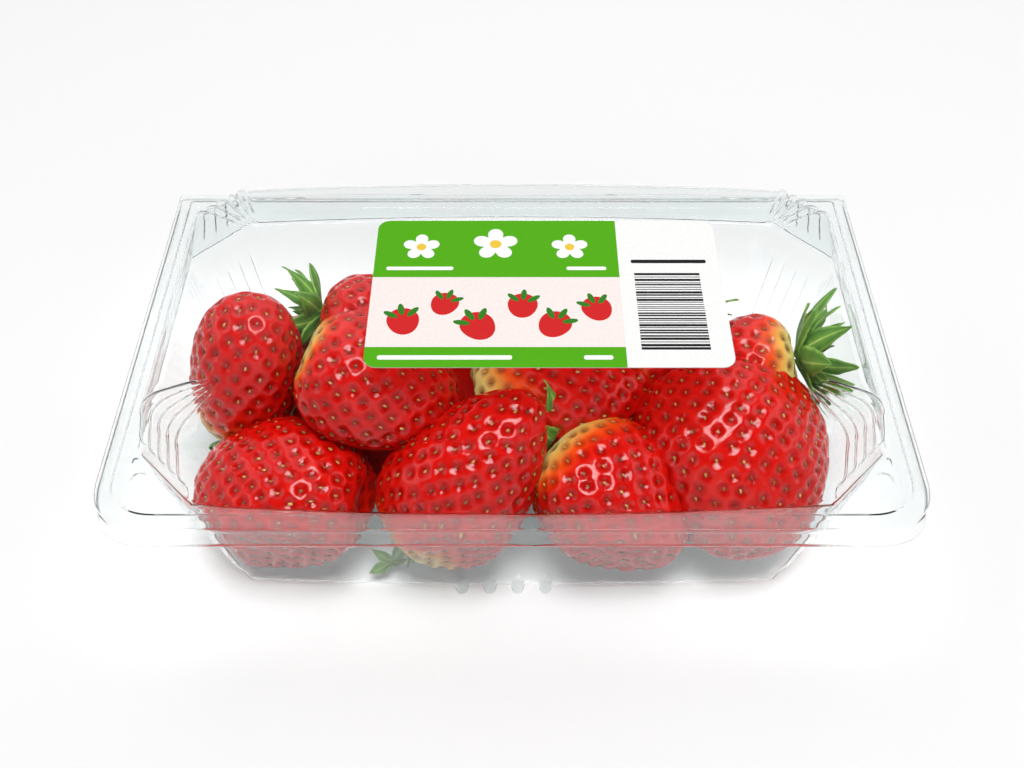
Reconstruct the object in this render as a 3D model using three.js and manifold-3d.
// A clear hinged punnet of strawberries: tray, domed lid, hinge fold, paper label and fruit.
// Millimetres, +Z up, +X along the pack, the front at -Y. The origin is under the middle.
import * as THREE from "three";
import { mergeVertices } from "three/addons/utils/BufferGeometryUtils.js";
import Module from "manifold-3d";

const wasm = await Module();
wasm.setup();

// Driving dimensions of the pack
const SHEET = 0.5; // thickness of the formed sheet
const GAP = 0.3; // between the two rims
const RIM_HEIGHT = 43.2; // top of the tray's rim above the table
const PANEL_HEIGHT = 60.8; // flat top of the lid
const RIM_HALF = 92; // half length of the lid's rim
const RIM_FRONT = -54.4;
const RIM_BACK = 55.4; // the fold between lid and tray
const RIM_CORNER = 13; // rounding of the two front corners of the rim
const BACK_CORNER = 1.2;
const FRONT_SQUEEZE = 0.65; // the rim's steps lie closer together along the narrow front
const SKIRT_DROP = 4.5; // turned-down edge of the tray's rim
const SKIRT_FLARE = 1;
const MOUTH = { half: 84.5, front: -47.3, back: 43.5, cut: 14, bow: 2.5 };
const FLOOR = { half: 76.8, front: -41.9, back: 38, cut: 12, bow: 1.5 };
const FLOOR_ROUND = 2.6; // rounding between wall and floor
const DOME_DRAFT = 3.4; // how far the lid's wall leans in
const SHOULDER = 4.8; // rounding between the lid's wall and its top
const BEAD = { outer: 2.6, crest: 4.2, inner: 5.8, rise: 1.3 };
const TAB_HALF = 41; // the bead stops here, beside the front opening tab
const TAB_STEP = 0.8;
const LIFT = RIM_HEIGHT + GAP; // underside of the lid's rim

// Finger-like ribs that stiffen the cut corners
const RIBS = 5;
const LID_RIB = 1.1;
const LID_RIB_REACH = 7.5; // onto the top panel
const TRAY_RIB = 0.9;

// Small moulded details
const FOOT = { width: 3.4, proud: 3.2, height: 9, pitch: 6.95, middle: -2.1, count: 4 };
const BUTTON = { radius: 3, rise: 1.2, x: 82.2, y: -42.2, tailX: 84.2, tailY: -36.8, tail: 1.2 };
const LABEL = { left: -33, right: 49.6, front: -23.5, back: 25.1, corner: 3, paper: 0.15, lift: 0.05 };

// Corner points of one cut corner, and points along the straight sides
const CORNER_STEPS = 2 * RIBS;
const FRONT_STATIONS = [0, 20, TAB_HALF - TAB_STEP / 2, TAB_HALF + TAB_STEP / 2];
const BACK_STATIONS = [0, 1 / 3, 2 / 3];
const SIDE_STATIONS = [1 / 3, 2 / 3, 0.96];

function shrink(plan, by) {
  return {
    ...plan,
    half: plan.half - by,
    front: plan.front + by,
    back: plan.back - by,
    cut: Math.max(plan.cut - 0.6 * by, 0.3),
    cutBack: Math.max((plan.cutBack ?? plan.cut) - 0.6 * by, 0.3),
  };
}

function mixPlans(low, high, share) {
  const plan = {};
  for (const key of ["half", "front", "back", "cut", "bow"]) {
    plan[key] = low[key] + (high[key] - low[key]) * share;
  }
  return plan;
}

// The rim's outline at a distance inside its edge. The skirt flares out on three sides only.
function rimPlan(inset, flare = 0) {
  return {
    half: RIM_HALF + flare - inset,
    front: RIM_FRONT - flare + inset * FRONT_SQUEEZE,
    back: RIM_BACK - inset,
    cut: RIM_CORNER + 0.6 * (flare - inset),
    cutBack: BACK_CORNER,
    bow: 0,
    round: 1,
  };
}

// One loop seen from above, anticlockwise from the middle of the front. Every loop has the
// same number of points, so loops join one to the next. Each point: x, y, the outward
// direction of its corner, how far along that corner, and whether it is on the front.
function outline(plan) {
  const cutBack = plan.cutBack ?? plan.cut;
  const round = plan.round ?? 0;
  const points = [];
  const bowAt = (x, reach) => plan.bow * (1 - (x / reach) ** 2);
  const addFront = (x) => {
    const y = plan.front - bowAt(x, plan.half - plan.cut);
    points.push({ x, y, front: true });
  };
  const addCorner = (from, to, corner) => {
    const out = new THREE.Vector2(Math.sign(corner.x), Math.sign(corner.y)).normalize();
    const middle = from.clone().add(to).multiplyScalar(0.5);
    const pull = middle.lerp(corner, round);
    const curve = new THREE.QuadraticBezierCurve(from, pull, to);
    curve.getPoints(CORNER_STEPS).forEach((p, step) => {
      points.push({ x: p.x, y: p.y, out, step });
    });
  };
  const v = (x, y) => new THREE.Vector2(x, y);
  const { half, front, back, cut } = plan;
  FRONT_STATIONS.forEach((x) => addFront(x));
  addCorner(v(half - cut, front), v(half, front + cut), v(half, front));
  SIDE_STATIONS.forEach((share) => {
    points.push({ x: half, y: front + cut + (back - cutBack - front - cut) * share });
  });
  addCorner(v(half, back - cutBack), v(half - cutBack, back), v(half, back));
  const reach = half - cutBack;
  const backX = [...BACK_STATIONS].reverse().map((share) => share * reach);
  [...backX, ...backX.slice(0, -1).reverse().map((x) => -x)].forEach((x) => {
    points.push({ x, y: back + bowAt(x, reach) });
  });
  addCorner(v(-reach, back), v(-half, back - cutBack), v(-half, back));
  [...SIDE_STATIONS].reverse().forEach((share) => {
    points.push({ x: -half, y: front + cut + (back - cutBack - front - cut) * share });
  });
  addCorner(v(-half, front + cut), v(cut - half, front), v(-half, front));
  [...FRONT_STATIONS].reverse().slice(0, -1).forEach((x) => addFront(-x));
  return points;
}

// A loop at its height, which may differ along the back. A rib pushes every second corner
// point outward and upward, and the bead's rise is left out along the opening tab.
function loop({ plan, z, backZ = z, rib = [0, 0], rise = 0 }) {
  return outline(plan).map((p) => {
    const crest = p.step % 2 === 1;
    const onTab = p.front && Math.abs(p.x) < TAB_HALF;
    const onBack = p.y > plan.back - BACK_CORNER - WELD;
    const at = new THREE.Vector3(p.x, p.y, (onBack ? backZ : z) + (onTab ? 0 : rise));
    if (crest) {
      at.x += p.out.x * rib[0];
      at.y += p.out.y * rib[0];
      at.z += rib[1];
    }
    return at;
  });
}

// A closed solid through a list of loops, which starts and ends at a point on the middle line.
// It is a lathe whose round section is reshaped to the loops.
function loft(bottom, loops, top) {
  const rows = [bottom, ...loops.map(loop), top];
  const count = loops.length + 2;
  const profile = rows.map((row, j) => new THREE.Vector2(j % (count - 1) === 0 ? 0 : 1, j));
  const around = rows[1].length;
  const geometry = new THREE.LatheGeometry(profile, around);
  const position = geometry.getAttribute("position");
  for (let i = 0; i <= around; i += 1) {
    for (let j = 0; j < count; j += 1) {
      const at = Array.isArray(rows[j]) ? rows[j][i % around] : rows[j];
      position.setXYZ(i * count + j, at.x, at.y, at.z);
    }
  }
  return solidOf(geometry);
}

function solidOf(geometry, tolerance = WELD) {
  const bare = geometry.clone();
  bare.deleteAttribute("normal");
  bare.deleteAttribute("uv");
  const merged = mergeVertices(bare, tolerance);
  const mesh = new wasm.Mesh({
    numProp: 3,
    vertProperties: merged.getAttribute("position").array,
    triVerts: new Uint32Array(merged.index.array),
  });
  return new wasm.Manifold(mesh);
}

function meshOf(name, solid, colour, roughness, opacity = 1) {
  const { vertProperties, triVerts } = solid.getMesh();
  const geometry = new THREE.BufferGeometry();
  geometry.setAttribute("position", new THREE.BufferAttribute(vertProperties, 3));
  geometry.setIndex(new THREE.BufferAttribute(triVerts, 1));
  geometry.computeVertexNormals();
  const material = new THREE.MeshStandardMaterial({
    color: colour,
    roughness,
    metalness: 0,
    transparent: opacity < 1,
    opacity,
  });
  const mesh = new THREE.Mesh(geometry, material);
  mesh.name = name;
  return mesh;
}

// Loops of the raised bead round the rim, from the edge inwards or back out again.
function beadLoops(z) {
  return [
    { plan: rimPlan(BEAD.outer), z },
    { plan: rimPlan(BEAD.crest), z, rise: BEAD.rise },
    { plan: rimPlan(BEAD.inner), z },
  ];
}

// The tray's wall from just above the floor to the mouth, at a distance inside its outer face.
function trayWall(inside) {
  const at = (z, rib) => ({
    plan: shrink(mixPlans(FLOOR, MOUTH, z / RIM_HEIGHT), inside),
    z,
    rib: [rib, 0],
  });
  return [at(6, 0), at(10, TRAY_RIB), at(33, TRAY_RIB), at(38, 0)];
}

// The round edge between floor and wall, as three loops on a quarter circle.
function floorEdge(inside) {
  const radius = FLOOR_ROUND - inside;
  return [90, 45, 0].map((degrees) => {
    const angle = THREE.MathUtils.degToRad(degrees);
    const z = FLOOR_ROUND - radius * Math.sin(angle);
    const inset = inside + radius * (1 - Math.cos(angle));
    return { plan: shrink(mixPlans(FLOOR, MOUTH, z / RIM_HEIGHT), inset), z };
  });
}

function traySolid() {
  const under = RIM_HEIGHT - SHEET;
  const skirt = RIM_HEIGHT - SKIRT_DROP;
  const outside = [...floorEdge(0), ...trayWall(0), { plan: { ...MOUTH }, z: under }];
  const rim = [
    { plan: rimPlan(SHEET), z: under },
    { plan: rimPlan(SHEET, SKIRT_FLARE), z: skirt, backZ: under - SHEET },
    { plan: rimPlan(0, SKIRT_FLARE), z: skirt, backZ: under - SHEET },
    { plan: rimPlan(0), z: RIM_HEIGHT },
  ];
  const inside = [
    { plan: shrink(MOUTH, SHEET), z: RIM_HEIGHT },
    ...trayWall(SHEET).reverse(),
    ...floorEdge(SHEET).reverse(),
  ];
  const bottom = new THREE.Vector3(0, 0, 0);
  const top = new THREE.Vector3(0, 0, SHEET);
  const shell = loft(bottom, [...outside, ...rim, ...inside], top);
  const feet = [FLOOR.front, FLOOR.back].flatMap((face) => footRow(face));
  const half = SHEET / 2;
  const middle = [...floorEdge(half), ...trayWall(half)];
  const room = loft(new THREE.Vector3(0, 0, half), middle, new THREE.Vector3(0, 0, RIM_HEIGHT));
  return feet.reduce((whole, foot) => whole.add(foot.subtract(room)), shell);
}

// A row of short upright feet pressed out of the wall at the table.
function footRow(face) {
  const y = face + Math.sign(face) * (FOOT.proud - FOOT.width / 2);
  return Array.from({ length: FOOT.count }, (_, k) => {
    const x = FOOT.middle + (k - (FOOT.count - 1) / 2) * FOOT.pitch;
    const shape = new THREE.CapsuleGeometry(FOOT.width / 2, FOOT.height, 1, 6);
    shape.rotateX(Math.PI / 2);
    shape.translate(x, y, FOOT.height / 2);
    const above = new THREE.BoxGeometry(FOOT.width * 2, FOOT.width * 2, FOOT.height * 2);
    above.translate(x, y, FOOT.height);
    return solidOf(shape).intersect(solidOf(above));
  });
}

// The lid's wall, shoulder and the ends of its ribs on the top panel.
function domeLoops(inside) {
  const top = PANEL_HEIGHT - inside;
  const radius = SHOULDER - inside;
  const springs = PANEL_HEIGHT - SHOULDER;
  const lean = DOME_DRAFT + inside;
  const wall = (z, inset, out, up) => ({
    plan: shrink(MOUTH, inset),
    z,
    rib: [out * LID_RIB, up * LID_RIB],
  });
  const slope = Math.SQRT1_2;
  return [
    wall(LIFT + SHEET - inside, inside, 0, 0),
    wall(LIFT + 3, inside + 0.6, 0, 0),
    wall(LIFT + 6, inside + 1.2, 1, 0),
    wall(springs, lean, 1, 0),
    wall(springs + radius * slope, lean + radius * (1 - slope), slope, slope),
    wall(top, lean + radius, 0, 1),
    wall(top, DOME_DRAFT + SHOULDER + LID_RIB_REACH * 0.75, 0, 1),
    wall(top, DOME_DRAFT + SHOULDER + LID_RIB_REACH, 0, 0),
  ];
}

function lidSolid() {
  const under = LIFT;
  const over = LIFT + SHEET;
  const foot = { plan: shrink(MOUTH, SHEET), z: under };
  const inside = [...domeLoops(SHEET).slice(1).reverse(), foot];
  const rim = [
    ...beadLoops(under).reverse(),
    { plan: rimPlan(0), z: under },
    { plan: rimPlan(0), z: over },
    ...beadLoops(over),
  ];
  const bottom = new THREE.Vector3(0, 0, PANEL_HEIGHT - SHEET);
  const top = new THREE.Vector3(0, 0, PANEL_HEIGHT);
  const shell = loft(bottom, [...inside, ...rim, ...domeLoops(0)], top);
  return [-1, 1].reduce((whole, side) => whole.add(buttonSolid(side)), shell);
}

// A drop-shaped snap button pressed up from the rim beside each front corner.
function buttonSolid(side) {
  const big = new THREE.CylinderGeometry(BUTTON.radius * 0.75, BUTTON.radius, 1, 12);
  const small = new THREE.CylinderGeometry(BUTTON.tail * 0.75, BUTTON.tail, 1, 8);
  const place = (shape, x, y) => {
    shape.rotateX(Math.PI / 2);
    shape.scale(1, 1, BUTTON.rise + SHEET / 2);
    shape.translate(side * x, y, LIFT + SHEET / 2 + (BUTTON.rise + SHEET / 2) / 2);
    return solidOf(shape);
  };
  return place(big, BUTTON.x, BUTTON.y).add(place(small, BUTTON.tailX, BUTTON.tailY));
}

// The printed paper label that lies on the flat top of the lid.
function labelSolid() {
  const { left, right, front, back, corner } = LABEL;
  const shape = new THREE.Shape();
  shape.moveTo(left + corner, front);
  shape.absarc(right - corner, front + corner, corner, -Math.PI / 2, 0, false);
  shape.absarc(right - corner, back - corner, corner, 0, Math.PI / 2, false);
  shape.absarc(left + corner, back - corner, corner, Math.PI / 2, Math.PI, false);
  shape.absarc(left + corner, front + corner, corner, Math.PI, 1.5 * Math.PI, false);
  const sheet = new THREE.ExtrudeGeometry(shape, {
    depth: LABEL.paper,
    curveSegments: 5,
    bevelEnabled: false,
  });
  sheet.translate(0, 0, PANEL_HEIGHT + LABEL.lift);
  return solidOf(sheet);
}

// Driving dimensions of the fruit: where each berry's middle is, the way that its tip points
// (degrees round from +X, and up), its length, width and thickness, how pointed it is, and the
// leaves of its cap: none where the cap is torn off or hidden under other fruit.
const BERRIES = [
  { at: [-67, -1, 34], turn: 63, up: 60, size: [41, 30, 25], taper: -0.05, leaves: 5, leaf: 9 },
  { at: [-34.5, 11.5, 38], turn: -6, up: -8, size: [30, 26, 24], taper: 0.15, leaves: 10, leaf: 13 },
  { at: [-32, -9, 38], turn: -10, up: -25, size: [42, 35, 29], taper: 0.15, leaves: 0 },
  { at: [-56, -27.6, 19.2], turn: 165, up: -12, size: [46, 41, 35], taper: 0.04, leaves: 0 },
  { at: [-10, -28, 28], turn: 30, up: 43, size: [50, 35, 30], taper: 0.36, leaves: 0 },
  { at: [25, -30.5, 21], turn: -29, up: -22, size: [41, 38, 30], taper: 0.15, leaves: 10, leaf: 16 },
  { at: [54.8, -20, 23.5], turn: -78, up: -24, size: [51, 49, 36], taper: 0.13, leaves: 0 },
  { at: [59, 3, 31], turn: 180, up: -15, size: [28, 26, 24], taper: 0.15, leaves: 12, leaf: 17 },
  { at: [12, -5, 25], turn: 5, up: -5, size: [47, 32, 27], taper: 0.15, leaves: 0 },
  { at: [-5, 18, 43], turn: 30, up: 0, size: [36, 31, 29], taper: 0.2, leaves: 0 },
  { at: [32, 20, 43], turn: 150, up: 10, size: [36, 31, 29], taper: 0.2, leaves: 6, leaf: 12 },
  { at: [-57, 17, 16], turn: 60, up: 0, size: [34, 29, 27], taper: 0.2, leaves: 0 },
  { at: [-14, 21, 15], turn: 110, up: 5, size: [34, 29, 27], taper: 0.2, leaves: 0 },
  { at: [34, 20, 15], turn: 120, up: 5, size: [34, 29, 27], taper: 0.2, leaves: 0 },
];
const CORE = { at: [0, -2, 25], half: [64, 30, 20] };
const BERRY_SIDES = 14;
const BERRY_ROWS = 10;
const BLUNT = 0.44; // under a half makes a berry fuller than an egg
const WELD = 1e-4; // points closer than this are one point
const SLIVER = 0.02; // the same, for the joined heap
const CLEAR_OF_PACK = 0.35; // the fruit's gap to tray and lid
const LEAF_THICK = 0.7;
const LEAF_WIDTH_SHARE = 0.17; // half width to length
const LEAF_LIFT = 0.75; // how far a leaf's tip stands off the fruit, to its length

// The directions of a berry: towards its tip, across it, and through it.
function axesOf(berry) {
  const turn = THREE.MathUtils.degToRad(berry.turn);
  const up = THREE.MathUtils.degToRad(berry.up);
  const flat = Math.cos(up);
  const tip = new THREE.Vector3(flat * Math.cos(turn), flat * Math.sin(turn), Math.sin(up));
  const across = new THREE.Vector3(-Math.sin(turn), Math.cos(turn), 0);
  return { tip, across, through: tip.clone().cross(across) };
}

// Radius at a share along the berry, from -1 at the cap to 1 at the tip.
function berryRadius(share, taper) {
  return Math.max(0, 1 - share * share) ** BLUNT * (1 - taper * share);
}

function berrySolid(berry) {
  const { tip, across, through } = axesOf(berry);
  const [length, width, thick] = berry.size.map((side) => side / 2);
  const shape = new THREE.SphereGeometry(1, BERRY_SIDES, BERRY_ROWS);
  const position = shape.getAttribute("position");
  const unit = new THREE.Vector3();
  for (let k = 0; k < position.count; k += 1) {
    unit.fromBufferAttribute(position, k);
    const flat = Math.hypot(unit.x, unit.z) || 1;
    const radius = Math.abs(unit.y) > 0.9999 ? 0 : berryRadius(unit.y, berry.taper);
    const at = new THREE.Vector3(...berry.at)
      .addScaledVector(tip, length * unit.y)
      .addScaledVector(across, (width * radius * unit.z) / flat)
      .addScaledVector(through, (thick * radius * unit.x) / flat);
    position.setXYZ(k, at.x, at.y, at.z);
  }
  return solidOf(shape);
}

// A thin solid over a grid of points, with both faces split alike.
function sheetSolid(top, bottom, across, along) {
  const grid = new THREE.PlaneGeometry(1, 1, across, along);
  const face = [...grid.index.array];
  const count = top.length;
  const index = [...face];
  for (let k = 0; k < face.length; k += 3) {
    index.push(face[k] + count, face[k + 2] + count, face[k + 1] + count);
  }
  const row = across + 1;
  const edge = [];
  for (let i = 0; i < across; i += 1) edge.push(i);
  for (let j = 0; j < along; j += 1) edge.push(j * row + across);
  for (let i = across; i > 0; i -= 1) edge.push(along * row + i);
  for (let j = along; j > 0; j -= 1) edge.push(j * row);
  edge.forEach((a, k) => {
    const b = edge[(k + 1) % edge.length];
    index.push(a, b, a + count, b, b + count, a + count);
  });
  const geometry = new THREE.BufferGeometry().setFromPoints([...top, ...bottom]);
  geometry.setIndex(index);
  return solidOf(geometry);
}

// The cap: pointed leaves that spread from the stalk end and lift off the fruit at their tips.
function leafSolids(berry) {
  const { tip, across, through } = axesOf(berry);
  const root = new THREE.Vector3(...berry.at).addScaledVector(tip, -berry.size[0] * 0.47);
  const steps = 4;
  return Array.from({ length: berry.leaves }, (_, k) => {
    const angle = ((k + 0.3) / berry.leaves) * 2 * Math.PI;
    const out = across.clone().multiplyScalar(Math.cos(angle));
    out.addScaledVector(through, Math.sin(angle));
    const side = tip.clone().cross(out);
    const top = [];
    const bottom = [];
    for (let j = 0; j <= steps; j += 1) {
      const share = j / steps;
      const half = berry.leaf * LEAF_WIDTH_SHARE * Math.sin(Math.PI * (0.16 + 0.78 * share));
      const lift = -berry.leaf * (0.05 + LEAF_LIFT * share * share * (k % 2 === 0 ? 1 : 0.5));
      for (const edge of [-1, 1]) {
        const at = root
          .clone()
          .addScaledVector(out, berry.leaf * share)
          .addScaledVector(side, edge * half)
          .addScaledVector(tip, lift);
        top.push(at);
        bottom.push(at.clone().addScaledVector(tip, -LEAF_THICK));
      }
    }
    return sheetSolid(top, bottom, 1, steps);
  });
}

// The space inside the closed pack, less a small gap, as one solid.
function packRoom() {
  const inside = SHEET + CLEAR_OF_PACK;
  const plain = (loops) => loops.map(({ plan, z }) => ({ plan, z }));
  const middle = { plan: shrink(MOUTH, inside), z: RIM_HEIGHT };
  const loops = [
    ...plain(floorEdge(inside)),
    ...plain(trayWall(inside)),
    middle,
    ...plain(domeLoops(inside)).slice(1, -2),
  ];
  const bottom = new THREE.Vector3(0, 0, inside);
  return loft(bottom, loops, new THREE.Vector3(0, 0, PANEL_HEIGHT - inside));
}

function fruitSolid() {
  const core = new THREE.SphereGeometry(1, BERRY_SIDES, BERRY_ROWS);
  core.scale(...CORE.half);
  core.translate(...CORE.at);
  const pieces = BERRIES.flatMap((berry) => [berrySolid(berry), ...leafSolids(berry)]);
  const heap = pieces.reduce((whole, piece) => whole.add(piece), solidOf(core));
  const joined = meshOf("joined", heap.intersect(packRoom()), "#ffffff", 1).geometry;
  const parts = solidOf(joined, SLIVER).decompose();
  return parts.reduce((best, part) => (part.volume() > best.volume() ? part : best));
}

const CLEAR = "#eef2f3";
const punnet = new THREE.Group();
punnet.add(meshOf("tray", traySolid(), CLEAR, 0.05, 0.3));
punnet.add(meshOf("lid", lidSolid(), CLEAR, 0.05, 0.3));
punnet.add(meshOf("label", labelSolid(), "#4caf1d", 0.5));
punnet.add(meshOf("strawberries", fruitSolid(), "#c4161c", 0.35));

export default punnet;
